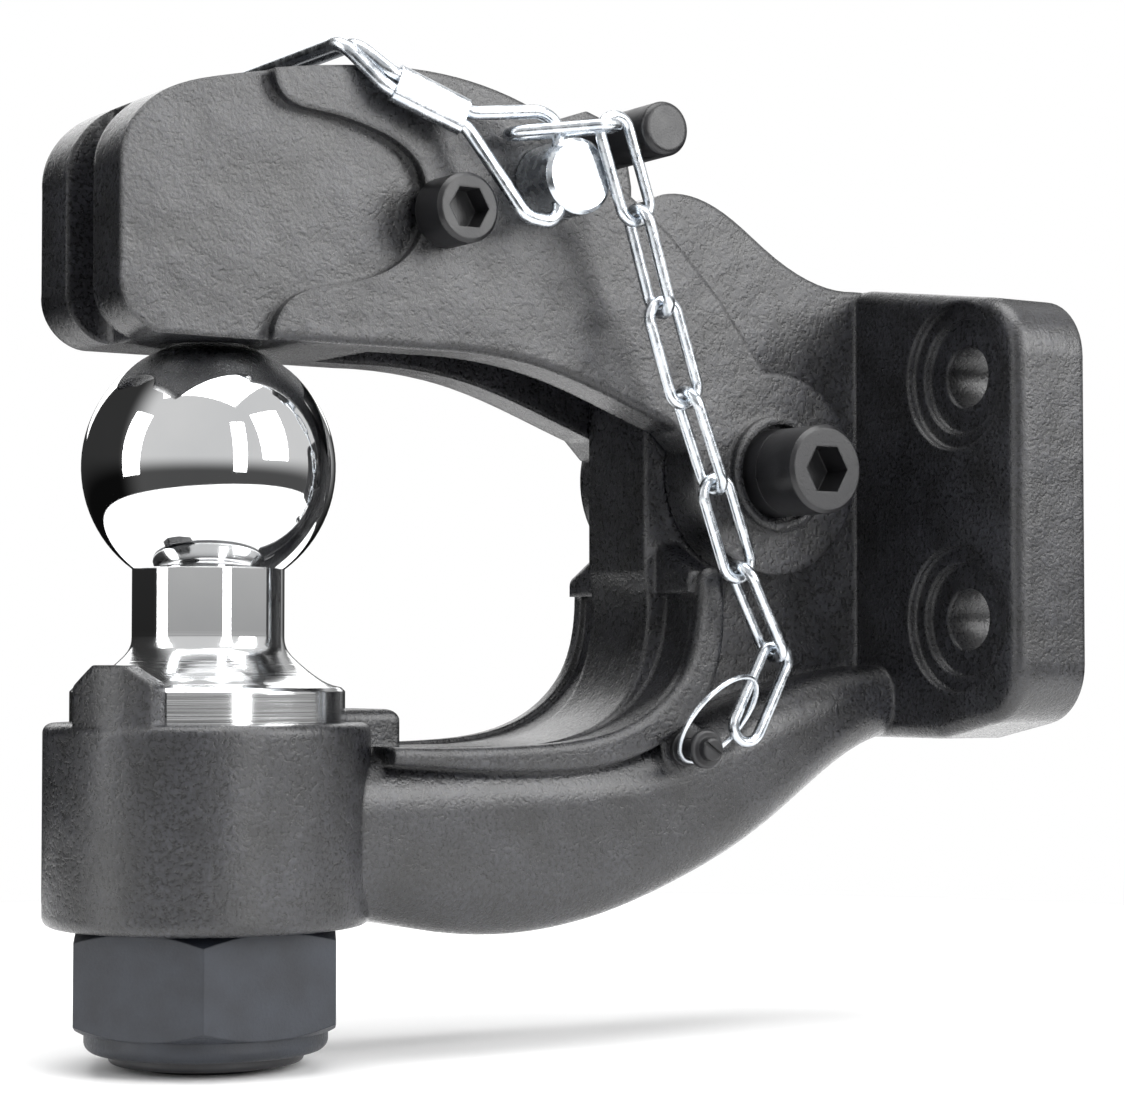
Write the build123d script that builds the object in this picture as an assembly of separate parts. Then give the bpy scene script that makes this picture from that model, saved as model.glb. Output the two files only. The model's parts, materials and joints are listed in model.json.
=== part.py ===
from build123d import *

import math
import os

os.makedirs("parts", exist_ok=True)

# Trailer hitch with ball: a forged hook body with a ball post, a pivoting latch,
# a lock lever, a safety pin with its wire and a chain, and their screws.
# Millimetres. +X points at the vehicle, +Z is up, and -Y is the side with the
# screw heads. The origin is on the mounting plate's back face, on its middle line.

# --- mounting plate -------------------------------------------------------
PLATE_T = 18.5
PLATE_HALF_W = 65.5
PLATE_TOP = 48.7
PLATE_TOP_END = 41.3
PLATE_BOTTOM = -52.6
PLATE_BOTTOM_END = -46.9
PLATE_CORNER_R = 13.0
BOLT_Y = 45.25
BOLT_Z = 26.5
BOLT_HOLE_R = 6.75
SPOT_R = 16.0
SPOT_DEPTH = 2.0
SPOT_INNER_R = 12.5
SPOT_INNER_DEPTH = 3.6

# --- forging --------------------------------------------------------------
WEB_HALF = 10.8
ARM_HALF = 24.0
FIN_TOP = 66.2
COLUMN_X = -77.0
SADDLE_HALF = 25.0
BEAD_WIDTH = 3.8
SEAT_DEPTH = 0.9

# --- ball, collar and nut -------------------------------------------------
BALL_X = -176.0
BALL_Z = 3.0
BALL_R = 25.4
NECK_R = 15.2
FLANGE_R = 27.4
FLANGE_TOP = -41.8
COLLAR_TOP = -48.0
COLLAR_BOTTOM = -88.2
COLLAR_R = 32.6
SHANK_R = 15.875
SHANK_END = -116.4
SHANK_CLEAR = 0.25
NUT_AF = 50.8
NUT_HEX_BOTTOM = -108.8
NUT_RIM_BOTTOM = -113.0
NUT_RIM_R = 24.2
NUT_TURN = 57.3
INSERT_R = 19.4
LUG_H = 11.4
LUG_W = 19.0

# --- latch ----------------------------------------------------------------
LATCH_HALF = 22.0
PAD_DEPTH = 3.0
CHANNEL_HALF = 11.3
CHANNEL_FRONT = -146.0
NOSE_SLOT_HALF = 6.3
NOSE_SLOT_DEPTH = 9.0
LATCH_UNDERSIDE = 27.2
EYE_R = 22.0
POCKET_CLEAR = 0.8
PIVOT_X = -50.0
PIVOT_Z = 5.3

# --- pivot hardware -------------------------------------------------------
BUSH_R = 9.525
BUSH_STANDS_OUT = 5.5
PIVOT_RING_R = 12.6
PIVOT_RING_INNER_R = 10.7
PIVOT_RING_H = 2.4
RUN_CLEAR = 0.05
PIVOT_BOLT_R = 6.35
PIVOT_HEAD_R = 9.525
PIVOT_HEAD_H = 12.7
PIVOT_HEX_AF = 9.525
PIVOT_WASHER_R = 12.7
PIVOT_WASHER_T = 2.6
PIVOT_NUT_AF = 19.05
PIVOT_NUT_H = 11.4
WASHER_CLEAR = 0.1

# --- lock lever -----------------------------------------------------------
LEVER_X = -134.0
LEVER_Z = 55.2
LEVER_HALF = 10.6
LEVER_SCREW_R = 4.7625
LEVER_HEAD_R = 7.15
LEVER_HEAD_H = 9.525
LEVER_HEX_AF = 7.94
LEVER_WASHER_R = 9.5
LEVER_WASHER_T = 1.6
LEVER_NUT_AF = 14.3
LEVER_NUT_H = 8.2
HANDLE_X = -90.8
HANDLE_Z = 74.4
HANDLE_R = 5.7
HANDLE_NEAR = -39.0
HANDLE_FAR = 16.0

# --- safety pin, wire and chain -------------------------------------------
PIN_X = -109.3
PIN_Z = 63.4
PIN_R = 7.9
PIN_NEAR = -34.7
PIN_FAR = 38.0
CROSS_X = -113.2
CROSS_Y = -32.3
WIRE_R = 1.45
FERRULE_GAP = 3.3
FAR_WIRE_Y = 35.0
LINK_D = 2.4
LINK_PITCH = 19.9
LINK_HALF_W = 3.6
LINK_PLAY = 0.2
LINK_ANGLES = [-68.6, -70.3, -68.5, -66.0, -67.6, -60.6, -116.0]
CHAIN_TOP = (-102.5, -36.6, 73.4)
CHAIN_LEAN = 3.6
TOP_LINK_TILT = 6.0
TOP_LINK_YAW = 30.0
ANCHOR_R = 2.0
ANCHOR_X = -75.9
ANCHOR_Z = -54.1
ANCHOR_FACE = -32.5
ANCHOR_WASHER_R = 3.9
ANCHOR_WASHER_T = 1.2
RING_CENTRE = (-73.74, -33.11, -47.88)
RING_NORMAL = (-0.304, 0.746, 0.592)
RING_R = 11.08
RING_WIRE_R = 0.55


def prism(points, y0, y1, radius=0.0):
    """A closed outline of (x, z) points, extruded from y0 to y1, its corners rounded."""
    outline = Polyline(*[(x, z) for x, z in points], close=True)
    face = make_face(outline)
    if radius:
        face = fillet(face.vertices(), radius)
    return slab(face, y0, y1)


def slab(face, y0, y1):
    """A flat face drawn in x and z, extruded from y0 to y1."""
    solid = extrude(face, y1 - y0)
    return Pos(0, y1, 0) * Rot(90, 0, 0) * solid


def smooth_outline(curve_sets):
    """A face bounded by splines and straight runs, each given as (kind, points)."""
    edges = []
    for kind, points in curve_sets:
        if kind == "spline":
            edges.append(Spline(*points))
        else:
            edges.append(Polyline(*points))
    wire = Wire([e for group in edges for e in group.edges()])
    return make_face(wire.edges())


def rod(x, z, radius, y0, y1):
    """A round bar along Y."""
    return Pos(x, (y0 + y1) / 2, z) * Rot(90, 0, 0) * Cylinder(radius, abs(y1 - y0))


def post(x, y, radius, z0, z1):
    """A round bar along Z."""
    return Pos(x, y, (z0 + z1) / 2) * Cylinder(radius, z1 - z0)


def bent_wire(points, wire_radius, bend_radius):
    """A round wire along straight runs, each corner bent round."""
    corners = [Vector(*p) for p in points]
    edges = []
    start = corners[0]
    for before, at, after in zip(corners, corners[1:], corners[2:]):
        back = (before - at).normalized()
        ahead = (after - at).normalized()
        half_turn = (math.pi - back.get_angle(ahead) * math.pi / 180) / 2
        room = 0.48 * min((before - at).length, (after - at).length)
        setback = min(bend_radius * math.tan(half_turn), room)
        bend = setback / math.tan(half_turn)
        middle = (back + ahead).normalized()
        centre = at + middle * (bend / math.cos(half_turn))
        enter = at + back * setback
        leave = at + ahead * setback
        edges.append(Line(start, enter).edge())
        edges.append(ThreePointArc(enter, centre - middle * bend, leave).edge())
        start = leave
    edges.append(Line(start, corners[-1]).edge())
    path = Wire(edges)
    section = Plane(origin=corners[0], z_dir=corners[1] - corners[0]) * Circle(wire_radius)
    return sweep(section, path=path)


def socket_screw(x, z, head_face, head_h, head_r, shank_r, end, hex_af):
    """A socket head cap screw along Y; its head face looks toward -Y."""
    seat = head_face + head_h
    head = rod(x, z, head_r, head_face, seat)
    rim = head.edges().filter_by(GeomType.CIRCLE).sort_by(Axis.Y)[0]
    head = chamfer(rim, 0.8)
    shank = rod(x, z, shank_r, seat, end)
    tip = shank.edges().filter_by(GeomType.CIRCLE).sort_by(Axis.Y)[-1]
    shank = chamfer(tip, 1.0)
    socket_depth = head_h * 0.55
    hexagon = RegularPolygon(hex_af / 2, 6, major_radius=False)
    socket = Pos(x, head_face + socket_depth, z) * Rot(90, 0, 0) * extrude(hexagon, socket_depth + 1)
    return head + shank - socket


def hex_nut_y(x, z, af, y0, y1, bore_r):
    """A hexagon nut along Y."""
    hexagon = RegularPolygon(af / 2, 6, major_radius=False)
    blank = Pos(x, y1, z) * Rot(90, 0, 0) * extrude(hexagon, y1 - y0)
    corner = af / math.sqrt(3)
    length = y1 - y0
    cone = Cylinder(corner, length)
    cone = chamfer(cone.edges().filter_by(GeomType.CIRCLE), corner - af / 2, (corner - af / 2) * 0.5)
    cone = Pos(x, (y0 + y1) / 2, z) * Rot(90, 0, 0) * cone
    return (blank & cone) - rod(x, z, bore_r, y0 - 1, y1 + 1)


def make_plate():
    corners = [
        (-PLATE_HALF_W, PLATE_BOTTOM_END),
        (-38, PLATE_BOTTOM),
        (38, PLATE_BOTTOM),
        (PLATE_HALF_W, PLATE_BOTTOM_END),
        (PLATE_HALF_W, PLATE_TOP_END),
        (14, PLATE_TOP),
        (-14, PLATE_TOP),
        (-PLATE_HALF_W, PLATE_TOP_END),
    ]
    face = make_face(Polyline(*corners, close=True))
    face = fillet(face.vertices(), PLATE_CORNER_R)
    plate = extrude(Plane.YZ * face, -PLATE_T)
    front = plate.faces().sort_by(Axis.X)[0]
    return fillet(front.edges(), 3.0)


def plate_cuts():
    cuts = []
    for y in (-BOLT_Y, BOLT_Y):
        for z in (-BOLT_Z, BOLT_Z):
            at = Pos(-PLATE_T, y, z) * Rot(0, 90, 0)
            cuts.append(at * Cylinder(SPOT_R, SPOT_DEPTH * 2))
            cuts.append(at * Cylinder(SPOT_INNER_R, SPOT_INNER_DEPTH * 2))
            cuts.append(at * Cylinder(BOLT_HOLE_R, PLATE_T * 3))
    return cuts


def make_web():
    """The middle fin: from the plate to the column in front, and down to the arm."""
    face = smooth_outline([
        ("line", [(-4, -50), (-4, 48.6), (-19, 48.6)]),
        ("spline", [(-19, 48.6), (-31, 50.0), (-43, 55.6), (-55, 63.2), (-63, FIN_TOP), (-72, FIN_TOP)]),
        ("line", [(-72, FIN_TOP), (COLUMN_X, FIN_TOP - 2), (COLUMN_X, -16)]),
        ("spline", [(COLUMN_X, -16), (-77.6, -34), (-84, -45.6), (-96, -51.6), (-112, -53.4)]),
        ("line", [(-112, -53.4), (-144, -53.4), (-144, -87.8)]),
        ("spline", [(-144, -87.8), (-120, -91.3), (-99, -90), (-79, -84.6), (-62, -77.6),
                    (-46, -67.6), (-34, -57.6)]),
        ("line", [(-34, -57.6), (-24, -52), (-4, -50)]),
    ])
    return slab(face, -WEB_HALF, WEB_HALF)


def make_arm():
    """The wide lower arm, from the collar back to the plate: rounded sections, lofted."""
    stations = [
        (-160.0, -53.9, -87.7, 11.5),
        (-146.8, -53.9, -87.9, 11.5),
        (-131.0, -53.9, -91.0, 11.5),
        (-118.0, -53.9, -92.2, 11.5),
        (-99.0, -53.3, -90.8, 11.5),
        (-80.0, -50.6, -85.8, 11.5),
        (-62.0, -45.0, -78.4, 11.0),
        (-46.0, -40.6, -68.8, 10.0),
        (-33.0, -38.0, -59.4, 8.5),
        (-20.0, -36.5, -52.8, 7.0),
        (-6.0, -36.0, -50.4, 6.5),
    ]
    sections = []
    for x, top, bottom, radius in stations:
        across = Plane((x, 0, (top + bottom) / 2), x_dir=(0, 1, 0), z_dir=(1, 0, 0))
        sections.append(across * RectangleRounded(2 * ARM_HALF, top - bottom, radius))
    return loft(sections)


def make_saddle():
    """The wide curved seat at the back of the throat, with a raised bead along both sides."""
    inner = Spline((-72.5, -15.5), (-72.3, -24), (-76, -37.8), (-84.5, -46.3), (-97, -51.2), (-114, -52.9),
                   (-130, -53.2), (-147, -52.9))
    outer = Spline((-66.5, -15.5), (-65.6, -26), (-70, -43), (-81, -52.6), (-96, -57.4), (-114, -58.4),
                   (-131, -57.6), (-147, -56.4))
    tip = Line(inner @ 0, outer @ 0)
    tail = Line(inner @ 1, outer @ 1)
    face = make_face(Wire([inner.edge(), tip.edge(), outer.edge(), tail.edge()]).edges())
    front = [v for v in face.vertices() if v.Y > -20 and v.X < -70]
    face = fillet(front, 3.2)
    back = [v for v in face.vertices() if v.Y > -20 and v.X > -67]
    face = fillet(back, 2.0)
    shelf = slab(face, -SADDLE_HALF, SADDLE_HALF)
    rims = [e for f in shelf.faces().filter_by(Axis.Y) for e in f.edges() if e.length > 30]
    shelf = fillet(rims, 1.4)
    lid = Polyline(inner @ 1, (-147, 0), (-72.5, 0), inner @ 0)
    hollow = make_face(Wire([inner.edge(), *lid.edges()]).edges())
    seat = slab(hollow, -SADDLE_HALF + BEAD_WIDTH, SADDLE_HALF - BEAD_WIDTH)
    return shelf - Pos(SEAT_DEPTH, 0, -SEAT_DEPTH) * seat


def make_ramps():
    """The sloped shoulders between the fin and the tips of the saddle."""
    outline = make_face(Polyline(
        (-23.0, -16.4), (-11.0, -10.2), (11.0, -10.2), (23.0, -16.4), (23.0, -21.0), (-23.0, -21.0),
        close=True))
    ramps = Pos(-74.2, 0, 0) * extrude(Plane.YZ * outline, 7.4)
    ridges = [e for e in ramps.edges() if e.center().Z > -15 and e.length > 10]
    return fillet(ridges, 2.0)


def make_lug():
    """The stop that stands on the collar's rim, its top sloped at both sides."""
    half = LUG_W / 2
    ring = post(BALL_X, 0, COLLAR_R - 0.6, COLLAR_TOP - 3, COLLAR_TOP + LUG_H)
    ring -= post(BALL_X, 0, FLANGE_R + 0.4, COLLAR_TOP - 4, COLLAR_TOP + LUG_H + 3)
    outline = make_face(Polyline(
        (-half, -3), (half, -3), (half, LUG_H - 4.2), (3.6, LUG_H), (-3.6, LUG_H), (-half, LUG_H - 3.6),
        close=True))
    outline = fillet([v for v in outline.vertices() if v.Y > 0], 1.6)
    window = extrude(Plane.YZ * outline, -40)
    return ring & (Pos(BALL_X, 0, COLLAR_TOP) * Rot(0, 0, 27) * window)


def make_body():
    body = make_plate() + make_web() + make_arm() + make_saddle() + make_ramps()
    collar = post(BALL_X, 0, COLLAR_R, COLLAR_BOTTOM, COLLAR_TOP)
    collar = fillet(collar.edges().filter_by(GeomType.CIRCLE), 2.0)
    body += collar
    shoulder = Pos(-143.5, 0, -50.5) * Box(13, 18, 10)
    shoulder = fillet([e for e in shoulder.edges() if e.center().Z > -47], 2.4)
    body += shoulder
    body += make_lug()
    body += rod(ANCHOR_X, ANCHOR_Z, 5.8, -ARM_HALF, -WEB_HALF + 2)
    body -= post(BALL_X, 0, SHANK_R + SHANK_CLEAR, COLLAR_BOTTOM - 1, COLLAR_TOP + 1)
    body -= post(BALL_X, 0, FLANGE_R + 0.4, COLLAR_TOP, COLLAR_TOP + 13)
    body -= rod(PIVOT_X, PIVOT_Z, BUSH_R + RUN_CLEAR, -30, 30)
    body -= rod(ANCHOR_X, ANCHOR_Z, ANCHOR_R + RUN_CLEAR, -40, -8.5)
    for cut in plate_cuts():
        body -= cut
    return body


def flank_edges(block):
    """The edges that lie in the latch's two outer side faces, in front of the pivot."""
    return [e for e in block.edges()
            if abs(abs(e.center().Y) - LATCH_HALF) < 0.01
            and e.bounding_box().size.Y < 0.01
            and e.center().X < -90]


def make_latch():
    """Two side walls joined at the nose, hung on the pivot."""
    u = LATCH_UNDERSIDE
    face = smooth_outline([
        ("spline", [(-194.0, u), (-199.6, u + 1.6), (-203.2, u + 5.6), (-204.2, u + 11)]),
        ("line", [(-204.2, u + 11), (-204.2, 59)]),
        ("spline", [(-204.2, 59), (-202.4, 67), (-196.2, 73.6), (-184, 78.2), (-168, 81.4), (-152, 83.4),
                    (-138, 83.8), (-123, 81.9), (-108, 76.8)]),
        ("line", [(-108, 76.8), (-78, 55.4), (-65, 42.6), (-51, 25.3)]),
        ("line", [(-51, 25.3), (-66, 8), (-72, 10), (-75.6, 13.6)]),
        ("spline", [(-75.6, 13.6), (-86, 17.4), (-97, 21.4), (-108, 24.6), (-122, 26.8), (-136, 27.2)]),
        ("line", [(-136, 27.2), (-194.0, u)]),
    ])
    block = slab(face, -LATCH_HALF, LATCH_HALF)
    block += rod(PIVOT_X, PIVOT_Z, EYE_R, -LATCH_HALF, LATCH_HALF)
    block += rod(PIVOT_X, PIVOT_Z, PIVOT_RING_R, -LATCH_HALF - PIVOT_RING_H, -LATCH_HALF)
    block -= rod(PIVOT_X, PIVOT_Z, PIVOT_RING_INNER_R, -LATCH_HALF - PIVOT_RING_H - 1, -LATCH_HALF)
    pad = smooth_outline([
        ("line", [(-230, 95), (-172.9, 95), (-172.9, 79.4)]),
        ("spline", [(-172.9, 79.4), (-169.6, 74.6), (-161, 73), (-151, 71), (-143.6, 68), (-139.4, 63.6),
                    (-138.4, 57), (-139.8, 49.6), (-146, 43.2), (-157, 39.2), (-167, 36.5), (-172.7, 29.6)]),
        ("line", [(-172.7, 29.6), (-172.7, 15), (-230, 15), (-230, 95)]),
    ])
    for sign in (-1, 1):
        y0, y1 = sorted((sign * (LATCH_HALF - PAD_DEPTH), sign * (LATCH_HALF + 6)))
        block -= slab(pad, y0, y1)
    channel = prism([(CHANNEL_FRONT, 10), (CHANNEL_FRONT, 100), (0, 100), (0, -40), (-100, -40)],
                    -CHANNEL_HALF, CHANNEL_HALF)
    block -= channel
    slot = Pos(-204.2, 0, 55) * Box(NOSE_SLOT_DEPTH * 2, NOSE_SLOT_HALF * 2, 90)
    slot = fillet(slot.edges().filter_by(Axis.Z), 3.0)
    block -= slot
    belly = [e for e in flank_edges(block) if e.center().Z < 28 and e.length > 30]
    block = fillet(belly, 1.5)
    block -= Pos(BALL_X, 0, BALL_Z) * Rot(90, 0, 0) * Sphere(BALL_R + POCKET_CLEAR)
    block -= rod(PIVOT_X, PIVOT_Z, BUSH_R + RUN_CLEAR, -40, 40)
    block -= rod(LEVER_X, LEVER_Z, LEVER_SCREW_R + RUN_CLEAR, -40, 40)
    block -= rod(PIN_X, PIN_Z, PIN_R + 0.1, -40, 40)
    return block


def make_lever():
    """The lock lever: hung on its screw, arched over the safety pin, its tip against the fin."""
    face = make_face(Polyline(
        (-139, 63.0), (-131, 71.5), (-119, 77.0), (-100, 79.6), (-92, 82.4), (-84.5, 80), (-81.4, 73.0),
        (-80.3, 67.0), (-80.3, 63.0), (-98.4, 63.0), (-99.4, 66.5), (-102, 72.0), (-116.5, 72.0),
        (-120.8, 65.0), (-124.6, 56.0), (-127, 49.0), (-134, 45.7), (-143.0, 52.0), close=True))
    face = fillet([v for v in face.vertices() if v.X < -84.6], 1.6)
    lever = slab(face, -LEVER_HALF, LEVER_HALF)
    lever -= rod(LEVER_X, LEVER_Z, LEVER_SCREW_R + RUN_CLEAR, -20, 20)
    lever -= rod(HANDLE_X, HANDLE_Z, HANDLE_R + 0.02, -20, 20)
    spring_seat = rod(LEVER_X, LEVER_Z, 9.4, -LEVER_HALF - 1, -4.0)
    return lever - spring_seat


def make_handle():
    """The handle: a plain round bar, its ends eased."""
    bar = rod(HANDLE_X, HANDLE_Z, HANDLE_R, HANDLE_NEAR, HANDLE_FAR)
    return fillet(bar.edges().filter_by(GeomType.CIRCLE), 1.4)


def make_spring():
    helix = Helix(2.1, 5.2, 7.2)
    section = Plane(origin=helix @ 0, z_dir=helix % 0) * Circle(0.9)
    coil = sweep(section, path=helix)
    return Pos(LEVER_X, -5.0, LEVER_Z) * Rot(90, 0, 0) * coil


def make_ball():
    neck_meet = BALL_Z - math.sqrt(BALL_R ** 2 - NECK_R ** 2)
    top = BALL_Z + BALL_R
    sphere = ThreePointArc((0, top), (BALL_R, BALL_Z), (NECK_R, neck_meet))
    straight = Line((NECK_R, neck_meet), (NECK_R, -31.0))
    flare = Spline((NECK_R, -31.0), (17.6, -35.6), (22.4, -39.4), (26.6, -41.0),
                   tangents=((0, -1), (1, -0.18)))
    rest = Polyline((26.6, -41.0), (FLANGE_R, FLANGE_TOP), (FLANGE_R, COLLAR_TOP), (SHANK_R, COLLAR_TOP),
                    (SHANK_R, SHANK_END + 3.0), (SHANK_R - 3.0, SHANK_END), (0, SHANK_END), (0, top))
    face = make_face(Wire([sphere.edge(), straight.edge(), flare.edge(), *rest.edges()]).edges())
    return Pos(BALL_X, 0, 0) * revolve(Plane.XZ * face, Axis.Z)


def make_nut():
    corner = NUT_AF / math.sqrt(3)
    height = COLLAR_BOTTOM - NUT_HEX_BOTTOM
    hexagon = RegularPolygon(NUT_AF / 2, 6, major_radius=False)
    blank = Pos(0, 0, NUT_HEX_BOTTOM) * extrude(hexagon, height)
    limit = Pos(0, 0, NUT_HEX_BOTTOM + height / 2) * Cylinder(corner, height)
    limit = chamfer(limit.edges().filter_by(GeomType.CIRCLE), 2.2, corner - NUT_AF / 2)
    nut = Rot(0, 0, -NUT_TURN) * (blank & limit)
    rim = Pos(0, 0, (NUT_HEX_BOTTOM + 0.5 + NUT_RIM_BOTTOM) / 2) * Cylinder(
        NUT_RIM_R, NUT_HEX_BOTTOM + 0.5 - NUT_RIM_BOTTOM)
    rim = fillet(rim.edges().filter_by(GeomType.CIRCLE).sort_by(Axis.Z)[0], 2.2)
    nut += rim
    nut -= post(0, 0, SHANK_R + 0.05, NUT_RIM_BOTTOM - 1, COLLAR_BOTTOM + 1)
    nut -= post(0, 0, INSERT_R + 0.05, NUT_RIM_BOTTOM - 1, NUT_HEX_BOTTOM + 2.0)
    return Pos(BALL_X, 0, 0) * nut


def make_insert():
    ring = post(0, 0, INSERT_R, NUT_RIM_BOTTOM - 2.2, NUT_HEX_BOTTOM + 2.0)
    ring = fillet(ring.edges().filter_by(GeomType.CIRCLE).sort_by(Axis.Z)[0], 1.0)
    ring -= post(0, 0, SHANK_R + 0.05, NUT_RIM_BOTTOM - 4, NUT_HEX_BOTTOM + 4)
    return Pos(BALL_X, 0, 0) * ring


def make_bushing():
    sleeve = rod(PIVOT_X, PIVOT_Z, BUSH_R, -LATCH_HALF - BUSH_STANDS_OUT, LATCH_HALF)
    return sleeve - rod(PIVOT_X, PIVOT_Z, PIVOT_BOLT_R + RUN_CLEAR, -40, 40)


def make_pin():
    """The safety pin; the wire's ends sit in an upright hole near its front end, off its middle."""
    pin = rod(PIN_X, PIN_Z, PIN_R, PIN_NEAR, PIN_FAR)
    pin = chamfer(pin.edges().filter_by(GeomType.CIRCLE), 0.9)
    return pin - Pos(CROSS_X, CROSS_Y, PIN_Z) * Cylinder(WIRE_R + 0.08, 40)


def make_wire():
    """The snapper wire: both ends in the pin's cross hole, over the latch, down to the pin's far end."""
    half_gap = FERRULE_GAP / 2
    stations = [
        ((-132.0, -28.2, 73.4), (0.36, 0.93)),
        ((-149.6, -26.2, 80.1), (0.36, 0.93)),
        ((-156.4, -21.8, 87.5), (1.0, 0.0)),
        ((-156.4, 21.8, 87.5), (1.0, 0.0)),
        ((-143.0, FAR_WIRE_Y, 78.4), (0.6, 0.8)),
        ((-121.6, FAR_WIRE_Y, 65.6), (0.56, 0.83)),
    ]
    upper = [(CROSS_X, CROSS_Y, PIN_Z + 0.3), (CROSS_X, CROSS_Y, PIN_Z + 13.2)]
    lower = [(-120.6, CROSS_Y + 0.6, 54.3), (CROSS_X, CROSS_Y, 53.4), (CROSS_X, CROSS_Y, PIN_Z - 0.3)]
    out = [(x + ox * half_gap, y, z + oz * half_gap) for (x, y, z), (ox, oz) in stations]
    back = [(x - ox * half_gap, y, z - oz * half_gap) for (x, y, z), (ox, oz) in stations]
    return bent_wire(upper + out + back[::-1] + lower, WIRE_R, 5.0)


def make_ferrule():
    """A sleeve crimped over both wires."""
    body = Box(16.0, 3.9, 2 * WIRE_R + FERRULE_GAP + 1.6)
    body = fillet(body.edges().filter_by(Axis.X), 1.8)
    for side in (-1, 1):
        bore = Rot(0, 90, 0) * Cylinder(WIRE_R + 0.1, 30)
        body -= Pos(0, 0, side * FERRULE_GAP / 2) * bore
    slope = math.degrees(math.atan2(6.7, 17.6))
    lean = math.degrees(math.atan2(2.0, 18.83))
    return Pos(-140.8, -27.2, 76.75) * Rot(0, slope, 0) * Rot(0, 0, -lean) * body


def link(centre, angle, flat):
    """One chain link: centre (x, y, z), long axis at this angle in the XZ plane.
    A flat link's hole looks along Y; the others are turned a quarter round."""
    outer = LINK_PITCH + LINK_D
    path = SlotOverall(outer, 2 * LINK_HALF_W).face().outer_wire()
    section = Plane(origin=path @ 0, z_dir=path % 0) * Circle(LINK_D / 2)
    ring = sweep(section, path=path)
    if flat:
        ring = Rot(90, 0, 0) * ring
    return Pos(*centre) * Rot(0, -angle, 0) * ring


def chain_links():
    """Name and solid of every chain link, from the pin's wire down to the split ring."""
    inner = LINK_PITCH / 2 - LINK_D / 2 - LINK_PLAY
    outer = LINK_PITCH / 2 + LINK_D / 2
    top_x, top_y, top_z = CHAIN_TOP
    end_circle = Pos(top_x - LINK_HALF_W, top_y, top_z)
    first = link((LINK_HALF_W - outer, 0, 0), 0, False)
    made = [("chain_link_0", end_circle * Rot(0, -TOP_LINK_TILT, 0) * Rot(0, 0, -TOP_LINK_YAW) * first)]
    hang = Pos(top_x, top_y, top_z) * Rot(CHAIN_LEAN, 0, 0)
    x = 0.0
    z = 0.0
    for index, angle in enumerate(LINK_ANGLES, start=1):
        flat = index % 2 == 1
        reach = inner if flat else outer
        dx = math.cos(math.radians(angle))
        dz = math.sin(math.radians(angle))
        made.append((f"chain_link_{index}", hang * link((x + reach * dx, 0, z + reach * dz), angle, flat)))
        x += 2 * reach * dx
        z += 2 * reach * dz
    return made


def make_chain_ring():
    """The thin ring round the anchor screw that the chain's last link hangs in."""
    return Plane(origin=RING_CENTRE, z_dir=RING_NORMAL) * Torus(RING_R, RING_WIRE_R)


def make_anchor():
    """The screw the chain's ring hangs on; it stands out of the body along -Y."""
    stem = rod(ANCHOR_X, ANCHOR_Z, ANCHOR_R, ANCHOR_FACE + 1.0, -9.0)
    head = rod(ANCHOR_X, ANCHOR_Z, 4.1, ANCHOR_FACE, ANCHOR_FACE + 1.8)
    stub = rod(ANCHOR_X, ANCHOR_Z, 2.5, ANCHOR_FACE - 2.2, ANCHOR_FACE + 0.4)
    head = fillet(head.edges().filter_by(GeomType.CIRCLE), 0.6)
    stub = fillet(stub.edges().filter_by(GeomType.CIRCLE).sort_by(Axis.Y)[0], 0.6)
    groove = Pos(ANCHOR_X, ANCHOR_FACE - 2.2, ANCHOR_Z) * Rot(0, 35, 0) * Box(6, 1.2, 0.8)
    return stem + head + stub - groove


def make_washer(x, z, inner, outer, y0, y1):
    return rod(x, z, outer, y0, y1) - rod(x, z, inner, y0 - 1, y1 + 1)


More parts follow.
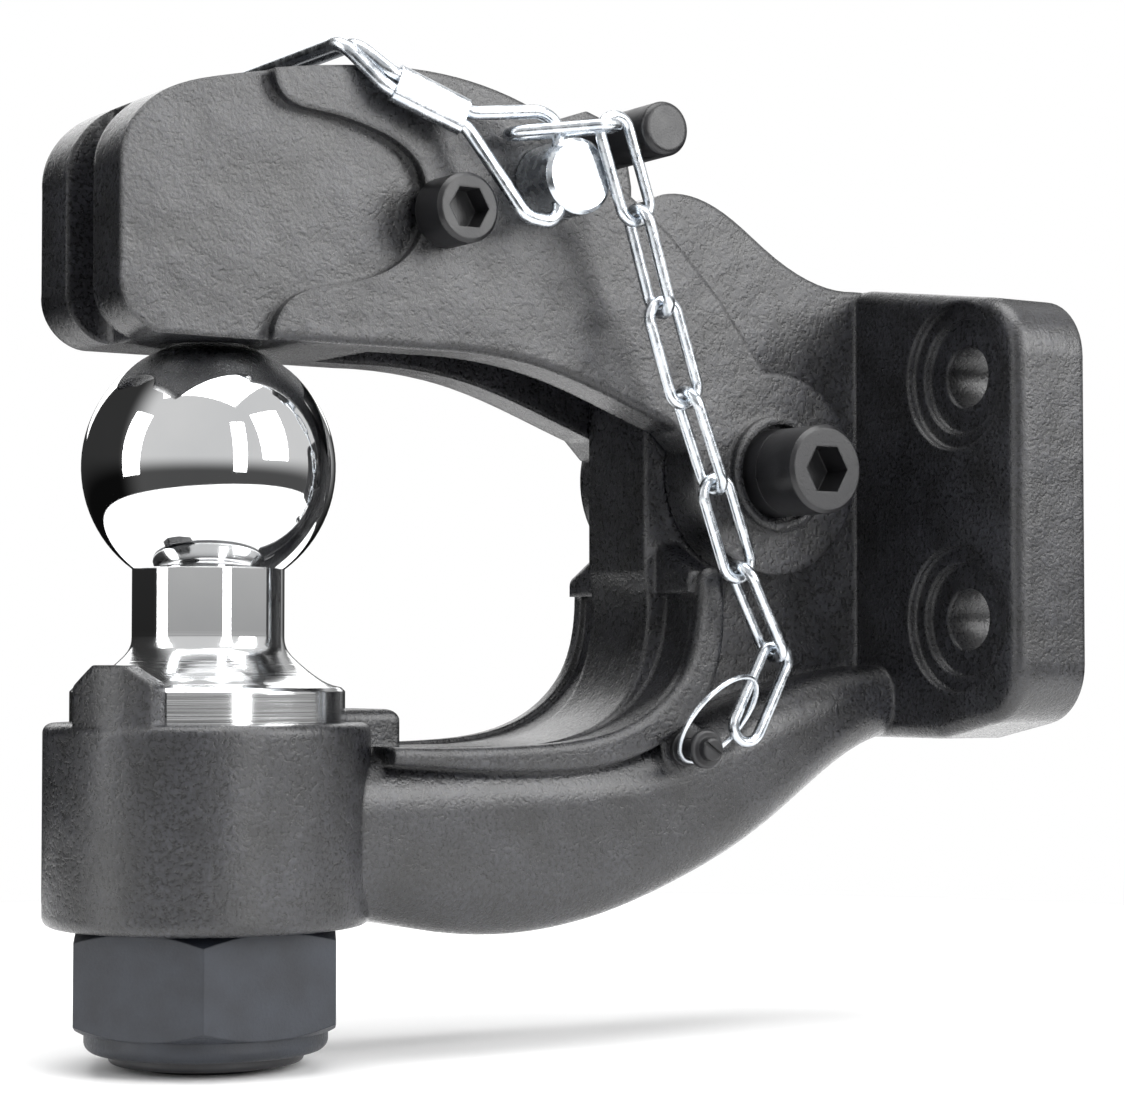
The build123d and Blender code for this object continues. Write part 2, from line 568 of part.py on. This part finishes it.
def main():
    nodes = dict(chain_links())
    nodes["chain_ring"] = make_chain_ring()
    nodes["hook_body"] = make_body()
    nodes["latch"] = make_latch()
    nodes["pivot_bushing"] = make_bushing()
    nodes["pivot_screw"] = socket_screw(
        PIVOT_X, PIVOT_Z, -LATCH_HALF - BUSH_STANDS_OUT - PIVOT_HEAD_H, PIVOT_HEAD_H, PIVOT_HEAD_R,
        PIVOT_BOLT_R, LATCH_HALF + 16.5, PIVOT_HEX_AF)
    pivot_nut_seat = LATCH_HALF + PIVOT_WASHER_T
    nodes["pivot_washer"] = make_washer(
        PIVOT_X, PIVOT_Z, PIVOT_BOLT_R + WASHER_CLEAR, PIVOT_WASHER_R, LATCH_HALF, pivot_nut_seat)
    nodes["pivot_nut"] = hex_nut_y(
        PIVOT_X, PIVOT_Z, PIVOT_NUT_AF, pivot_nut_seat, pivot_nut_seat + PIVOT_NUT_H,
        PIVOT_BOLT_R + RUN_CLEAR)
    nodes["lock_lever"] = make_lever()
    nodes["lever_handle"] = make_handle()
    nodes["lever_screw"] = socket_screw(
        LEVER_X, LEVER_Z, -LATCH_HALF - LEVER_HEAD_H, LEVER_HEAD_H, LEVER_HEAD_R, LEVER_SCREW_R,
        LATCH_HALF + 11.5, LEVER_HEX_AF)
    lever_nut_seat = LATCH_HALF + LEVER_WASHER_T
    nodes["lever_nut"] = hex_nut_y(
        LEVER_X, LEVER_Z, LEVER_NUT_AF, lever_nut_seat, lever_nut_seat + LEVER_NUT_H,
        LEVER_SCREW_R + RUN_CLEAR)
    nodes["lever_washer"] = make_washer(
        LEVER_X, LEVER_Z, LEVER_SCREW_R + WASHER_CLEAR, LEVER_WASHER_R, LATCH_HALF, lever_nut_seat)
    nodes["lever_spring"] = make_spring()
    nodes["safety_pin"] = make_pin()
    nodes["snapper_wire"] = make_wire()
    nodes["wire_ferrule"] = make_ferrule()
    nodes["chain_anchor"] = make_anchor()
    nodes["anchor_washer"] = make_washer(
        ANCHOR_X, ANCHOR_Z, ANCHOR_R + WASHER_CLEAR, ANCHOR_WASHER_R, -ARM_HALF - ANCHOR_WASHER_T, -ARM_HALF)
    nodes["hitch_ball"] = make_ball()
    nodes["ball_nut"] = make_nut()
    nodes["nut_insert"] = make_insert()
    for name, solid in nodes.items():
        export_step(solid, f"parts/{name}.step")


main()
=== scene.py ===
"""The trailer hitch's looks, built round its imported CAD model. Metres, in the CAD's frame."""
import json
import math

import bpy
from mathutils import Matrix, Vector


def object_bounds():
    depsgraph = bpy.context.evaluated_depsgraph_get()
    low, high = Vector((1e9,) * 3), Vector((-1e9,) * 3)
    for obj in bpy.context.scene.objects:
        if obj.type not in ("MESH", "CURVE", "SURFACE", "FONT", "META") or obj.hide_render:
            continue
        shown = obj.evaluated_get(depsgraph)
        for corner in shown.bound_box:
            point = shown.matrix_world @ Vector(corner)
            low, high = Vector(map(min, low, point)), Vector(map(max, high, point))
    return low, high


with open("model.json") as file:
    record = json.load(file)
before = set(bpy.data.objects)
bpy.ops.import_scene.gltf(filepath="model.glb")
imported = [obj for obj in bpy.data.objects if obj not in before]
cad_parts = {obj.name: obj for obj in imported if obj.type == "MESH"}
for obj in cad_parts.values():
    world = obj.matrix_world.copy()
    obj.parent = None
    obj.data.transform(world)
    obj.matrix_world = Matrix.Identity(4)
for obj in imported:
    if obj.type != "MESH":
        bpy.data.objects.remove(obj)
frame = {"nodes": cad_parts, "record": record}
cad_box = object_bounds()

FLOOR_Z = cad_box[0][2]
CAMERA_AT = (-0.4334, -0.5228, -0.0375)
CAMERA_TURN = math.radians(33.21)
CAMERA_RISE = math.radians(2.24)
CAMERA_LENS = 92.35
SENSOR_WIDTH = 36.0
MIDDLE = (-0.10, 0.0, 0.0)
FLOOR_SIDES = 96
FLOOR_REACH = 0.40
DARK_WAY = (-0.20, 0.98, 0.0)

# A colour mix node's socket numbers: its two colours and its result.
MIX_A = 6
MIX_B = 7
MIX_RESULT = 2

# Heights on the ball, in metres: the polished top ends and the turned neck starts
# at the first pair, and the plated metal gives way to the dark shank at the second.
TURNED_FROM = (-0.0300, -0.0325)
DARK_FROM = (-0.0600, -0.0610)


# --- small helpers ------------------------------------------------------------
class Shader:
    """A material's node tree, with short calls for the nodes used here."""

    def __init__(self, name):
        self.material = bpy.data.materials.new(name)
        self.material.use_nodes = True
        self.tree = self.material.node_tree
        self.tree.nodes.clear()
        self.out = self.node("ShaderNodeOutputMaterial")
        self.base = self.node("ShaderNodeBsdfPrincipled")
        self.link(self.base, "BSDF", self.out, "Surface")
        self.where = self.node("ShaderNodeTexCoord")

    def node(self, kind, **values):
        made = self.tree.nodes.new(kind)
        for key, value in values.items():
            setattr(made, key, value)
        return made

    def link(self, source, output, target, socket):
        self.tree.links.new(source.outputs[output], target.inputs[socket])

    def place(self, stretch=(1, 1, 1)):
        """Object coordinates, stretched along each axis."""
        mapping = self.node("ShaderNodeMapping")
        mapping.inputs["Scale"].default_value = stretch
        self.link(self.where, "Object", mapping, "Vector")
        return mapping

    def noise(self, scale, detail=3.0, rough=0.5, stretch=(1, 1, 1)):
        made = self.node("ShaderNodeTexNoise")
        made.inputs["Scale"].default_value = scale
        made.inputs["Detail"].default_value = detail
        made.inputs["Roughness"].default_value = rough
        self.link(self.place(stretch), "Vector", made, "Vector")
        return made

    def remap(self, source, output, low, high, to_low, to_high):
        made = self.node("ShaderNodeMapRange")
        made.inputs["From Min"].default_value = low
        made.inputs["From Max"].default_value = high
        made.inputs["To Min"].default_value = to_low
        made.inputs["To Max"].default_value = to_high
        self.link(source, output, made, "Value")
        return made

    def ramp(self, source, output, stops):
        made = self.node("ShaderNodeValToRGB")
        ramp = made.color_ramp
        while len(ramp.elements) < len(stops):
            ramp.elements.new(0.5)
        for element, (place, colour) in zip(ramp.elements, stops):
            element.position = place
            element.color = (*colour, 1.0)
        self.link(source, output, made, "Fac")
        return made

    def mix(self, first, second, factor=None, blend="MIX"):
        """Mixes two colours. Either may be a node with a Color output or a plain colour."""
        made = self.node("ShaderNodeMix", data_type="RGBA", blend_type=blend)
        for socket, colour in ((MIX_A, first), (MIX_B, second)):
            if isinstance(colour, tuple):
                made.inputs[socket].default_value = (*colour, 1.0)
            else:
                self.tree.links.new(colour.outputs["Color"], made.inputs[socket])
        if factor is None:
            made.inputs["Factor"].default_value = 1.0
        else:
            self.link(factor, "Result", made, "Factor")
        return made

    def colour(self, mixed):
        """Gives a mix's colour to the surface."""
        self.tree.links.new(mixed.outputs[MIX_RESULT], self.base.inputs["Base Color"])

    def bump(self, source, output, distance, strength=1.0, under=None):
        made = self.node("ShaderNodeBump")
        made.inputs["Distance"].default_value = distance
        made.inputs["Strength"].default_value = strength
        self.link(source, output, made, "Height")
        if under is not None:
            self.link(under, "Normal", made, "Normal")
        return made

    def eased(self, radius):
        made = self.node("ShaderNodeBevel")
        made.samples = 4
        made.inputs["Radius"].default_value = radius
        return made

    def set(self, **values):
        for key, value in values.items():
            self.base.inputs[key.replace("_", " ")].default_value = value


def forged_black():
    """Black paint over a forging: a grainy, speckled skin over slow hammer waves."""
    s = Shader("forged_black")
    s.set(Specular_IOR_Level=0.5, Coat_Weight=0.5, Coat_Roughness=0.16)
    grain = s.noise(1250, 4.0, 0.62)
    patch = s.noise(95, 3.0, 0.55)
    wave = s.noise(60, 2.0, 0.5)
    tone = s.ramp(patch, "Fac", [(0.32, (0.0045, 0.0046, 0.0055)), (0.70, (0.017, 0.0175, 0.021))])
    fleck = s.ramp(grain, "Fac", [(0.40, (0.35, 0.35, 0.35)), (0.66, (1.7, 1.7, 1.75))])
    s.colour(s.mix(tone, fleck, blend="MULTIPLY"))
    s.link(s.remap(grain, "Fac", 0.35, 0.65, 0.22, 0.38), "Result", s.base, "Roughness")
    first = s.bump(wave, "Fac", 0.0010, 0.5, s.eased(0.0015))
    second = s.bump(patch, "Fac", 0.0005, 0.6, first)
    third = s.bump(grain, "Fac", 0.00030, 0.8, second)
    s.link(third, "Normal", s.base, "Normal")
    s.link(s.bump(grain, "Fac", 0.00016, 0.7, second), "Normal", s.base, "Coat Normal")
    return s.material


def black_oxide():
    """The screws, bar and nuts: smoother black steel."""
    s = Shader("black_oxide")
    s.set(Specular_IOR_Level=0.5)
    grain = s.noise(2200, 3.0, 0.6)
    cloud = s.noise(160, 3.0, 0.5)
    tone = s.ramp(cloud, "Fac", [(0.3, (0.007, 0.007, 0.008)), (0.75, (0.016, 0.016, 0.018))])
    s.link(tone, "Color", s.base, "Base Color")
    s.link(s.remap(cloud, "Fac", 0.3, 0.7, 0.28, 0.42), "Result", s.base, "Roughness")
    s.link(s.bump(grain, "Fac", 0.00008, 0.5, s.eased(0.0005)), "Normal", s.base, "Normal")
    return s.material


def chrome_plate():
    """Polished chrome, with turning marks on the neck and a dark oiled shank below the nut."""
    s = Shader("chrome_plate")
    smear = s.noise(60, 3.0, 0.5)
    tone = s.ramp(smear, "Fac", [(0.3, (0.86, 0.87, 0.88)), (0.7, (0.93, 0.935, 0.94))])
    rings = s.noise(1.0, 2.0, 0.6, (20, 20, 2600))
    height = s.node("ShaderNodeSeparateXYZ")
    s.link(s.where, "Object", height, "Vector")
    low = s.remap(height, "Z", *TURNED_FROM, 0.0, 1.0)
    dark = s.remap(height, "Z", *DARK_FROM, 0.0, 1.0)
    s.colour(s.mix(tone, (0.012, 0.012, 0.013), factor=dark))
    s.link(s.remap(dark, "Result", 0.0, 1.0, 1.0, 0.0), "Result", s.base, "Metallic")
    polish = s.remap(low, "Result", 0.0, 1.0, 0.03, 0.14)
    rough = s.node("ShaderNodeMath", operation="MAXIMUM")
    s.link(polish, "Result", rough, 0)
    s.link(s.remap(dark, "Result", 0.0, 1.0, 0.0, 0.4), "Result", rough, 1)
    s.link(rough, "Value", s.base, "Roughness")
    marks = s.node("ShaderNodeMath", operation="MULTIPLY")
    s.link(rings, "Fac", marks, 0)
    s.link(low, "Result", marks, 1)
    s.link(s.bump(marks, "Value", 0.00006, 0.5, s.eased(0.0004)), "Normal", s.base, "Normal")
    return s.material


def zinc_plate():
    """Bright zinc: nearly white, a little uneven."""
    s = Shader("zinc_plate")
    s.set(Metallic=1.0)
    cloud = s.noise(420, 3.0, 0.55)
    tone = s.ramp(cloud, "Fac", [(0.3, (0.52, 0.56, 0.61)), (0.7, (0.80, 0.83, 0.86))])
    s.link(tone, "Color", s.base, "Base Color")
    s.link(s.remap(cloud, "Fac", 0.3, 0.7, 0.17, 0.34), "Result", s.base, "Roughness")
    s.link(s.bump(cloud, "Fac", 0.00008, 0.5, s.eased(0.0003)), "Normal", s.base, "Normal")
    return s.material


def grey_nut():
    """The big nut: dark blue-grey, dull, with a fine grain."""
    s = Shader("grey_nut")
    s.set(Specular_IOR_Level=0.5)
    grain = s.noise(1700, 4.0, 0.65)
    cloud = s.noise(120, 3.0, 0.5)
    tone = s.ramp(cloud, "Fac", [(0.3, (0.008, 0.010, 0.015)), (0.7, (0.018, 0.022, 0.031))])
    s.link(tone, "Color", s.base, "Base Color")
    s.link(s.remap(grain, "Fac", 0.3, 0.7, 0.38, 0.55), "Result", s.base, "Roughness")
    s.link(s.bump(grain, "Fac", 0.00013, 0.6, s.eased(0.0005)), "Normal", s.base, "Normal")
    return s.material


def dark_nylon():
    """The nut's ring: dull dark plastic with a faint mottle."""
    s = Shader("dark_nylon")
    mottle = s.noise(300, 3.0, 0.5)
    tone = s.ramp(mottle, "Fac", [(0.3, (0.012, 0.012, 0.014)), (0.7, (0.020, 0.020, 0.023))])
    s.link(tone, "Color", s.base, "Base Color")
    s.link(s.remap(mottle, "Fac", 0.3, 0.7, 0.34, 0.5), "Result", s.base, "Roughness")
    s.link(s.bump(mottle, "Fac", 0.0002, 0.5), "Normal", s.base, "Normal")
    return s.material


def spring_steel():
    """The spring's wire: bare drawn steel, streaked."""
    s = Shader("spring_steel")
    s.set(Metallic=1.0)
    streak = s.noise(500, 3.0, 0.5)
    tone = s.ramp(streak, "Fac", [(0.3, (0.20, 0.20, 0.21)), (0.7, (0.34, 0.34, 0.36))])
    s.link(tone, "Color", s.base, "Base Color")
    s.link(s.remap(streak, "Fac", 0.3, 0.7, 0.25, 0.4), "Result", s.base, "Roughness")
    s.link(s.bump(streak, "Fac", 0.00006, 0.5), "Normal", s.base, "Normal")
    return s.material


FINISHES = {
    "black_forging": forged_black(),
    "black_steel": black_oxide(),
    "chrome": chrome_plate(),
    "zinc": zinc_plate(),
    "dark_nut": grey_nut(),
    "nylon": dark_nylon(),
    "spring_steel": spring_steel(),
}

SLOT_OF = {part["node"]: part["material_slot"] for part in frame["record"]["subparts"]}
for node_name, node in frame["nodes"].items():
    finish = FINISHES[SLOT_OF[node_name]]
    for slot in node.material_slots:
        slot.material = finish
    if not node.material_slots:
        node.data.materials.append(finish)


# --- studio -------------------------------------------------------------------
def make_floor():
    """A pale round floor. The white world takes over beyond its edge."""
    mesh = bpy.data.meshes.new("studio_floor")
    turns = [2 * math.pi * step / FLOOR_SIDES for step in range(FLOOR_SIDES)]
    rim = [(MIDDLE[0] + FLOOR_REACH * math.cos(t), FLOOR_REACH * math.sin(t), FLOOR_Z) for t in turns]
    mesh.from_pydata(rim, [], [tuple(range(FLOOR_SIDES))])
    floor = bpy.data.objects.new("studio_floor", mesh)
    bpy.context.scene.collection.objects.link(floor)
    s = Shader("studio_floor")
    s.set(Roughness=0.9, Specular_IOR_Level=0.1)
    speck = s.noise(6.0, 2.0)
    tone = s.ramp(speck, "Fac", [(0.0, (0.93, 0.93, 0.93)), (1.0, (0.96, 0.96, 0.96))])
    s.link(tone, "Color", s.base, "Base Color")
    mesh.materials.append(s.material)


def softbox(name, place, aim, width, height, power):
    """A rectangular lamp at this place, turned towards aim; power in watts."""
    data = bpy.data.lights.new(name, "AREA")
    data.shape = "RECTANGLE"
    data.size = width
    data.size_y = height
    data.energy = power
    lamp = bpy.data.objects.new(name, data)
    lamp.location = place
    lamp.rotation_euler = (Vector(aim) - Vector(place)).to_track_quat("-Z", "Y").to_euler()
    bpy.context.scene.collection.objects.link(lamp)


def make_world():
    """White where the camera sees it. As light it is bright in front and dark behind, like a studio."""
    world = bpy.data.worlds.new("studio")
    bpy.context.scene.world = world
    world.use_nodes = True
    nodes = world.node_tree.nodes
    links = world.node_tree.links
    nodes.clear()
    out = nodes.new("ShaderNodeOutputWorld")
    seen = nodes.new("ShaderNodeBackground")
    seen.inputs["Color"].default_value = (1.0, 1.0, 1.0, 1.0)
    fill = nodes.new("ShaderNodeBackground")
    where = nodes.new("ShaderNodeTexCoord")
    facing = nodes.new("ShaderNodeVectorMath")
    facing.operation = "DOT_PRODUCT"
    facing.inputs[1].default_value = DARK_WAY
    links.new(where.outputs["Generated"], facing.inputs[0])
    shade = nodes.new("ShaderNodeMapRange")
    shade.interpolation_type = "SMOOTHSTEP"
    shade.inputs["From Min"].default_value = 0.15
    shade.inputs["From Max"].default_value = 0.60
    shade.inputs["To Min"].default_value = 0.80
    shade.inputs["To Max"].default_value = 0.04
    links.new(facing.outputs["Value"], shade.inputs["Value"])
    split = nodes.new("ShaderNodeSeparateXYZ")
    links.new(where.outputs["Generated"], split.inputs["Vector"])
    lift = nodes.new("ShaderNodeMapRange")
    lift.interpolation_type = "SMOOTHSTEP"
    lift.inputs["From Min"].default_value = -0.12
    lift.inputs["From Max"].default_value = 0.14
    lift.inputs["To Min"].default_value = 0.12
    links.new(split.outputs["Z"], lift.inputs["Value"])
    both = nodes.new("ShaderNodeMath")
    both.operation = "MULTIPLY"
    links.new(shade.outputs["Result"], both.inputs[0])
    links.new(lift.outputs["Result"], both.inputs[1])
    links.new(both.outputs["Value"], fill.inputs["Strength"])
    path = nodes.new("ShaderNodeLightPath")
    mix = nodes.new("ShaderNodeMixShader")
    links.new(path.outputs["Is Camera Ray"], mix.inputs["Fac"])
    links.new(fill.outputs["Background"], mix.inputs[1])
    links.new(seen.outputs["Background"], mix.inputs[2])
    links.new(mix.outputs["Shader"], out.inputs["Surface"])


def make_camera():
    data = bpy.data.cameras.new("camera")
    data.lens = CAMERA_LENS
    data.sensor_width = SENSOR_WIDTH
    data.clip_start = 0.01
    camera = bpy.data.objects.new("camera", data)
    camera.location = CAMERA_AT
    look = Vector((math.sin(CAMERA_TURN) * math.cos(CAMERA_RISE),
                   math.cos(CAMERA_TURN) * math.cos(CAMERA_RISE),
                   math.sin(CAMERA_RISE)))
    camera.rotation_euler = look.to_track_quat("-Z", "Y").to_euler()
    bpy.context.scene.collection.objects.link(camera)
    bpy.context.scene.camera = camera


make_floor()
make_world()
make_camera()
softbox("main", (0.50, -0.92, 0.50), MIDDLE, 0.60, 0.85, 11.0)
softbox("strip", (-0.14, -1.10, 0.30), MIDDLE, 0.24, 0.90, 4.5)
softbox("left", (-1.19, 0.17, 0.30), MIDDLE, 0.36, 0.90, 4.5)
softbox("top", (-0.20, -0.10, 1.10), MIDDLE, 1.2, 0.9, 16.0)
softbox("behind", (0.30, 1.10, 0.60), MIDDLE, 1.2, 0.8, 5.0)

bpy.context.scene.view_settings.view_transform = "Standard"
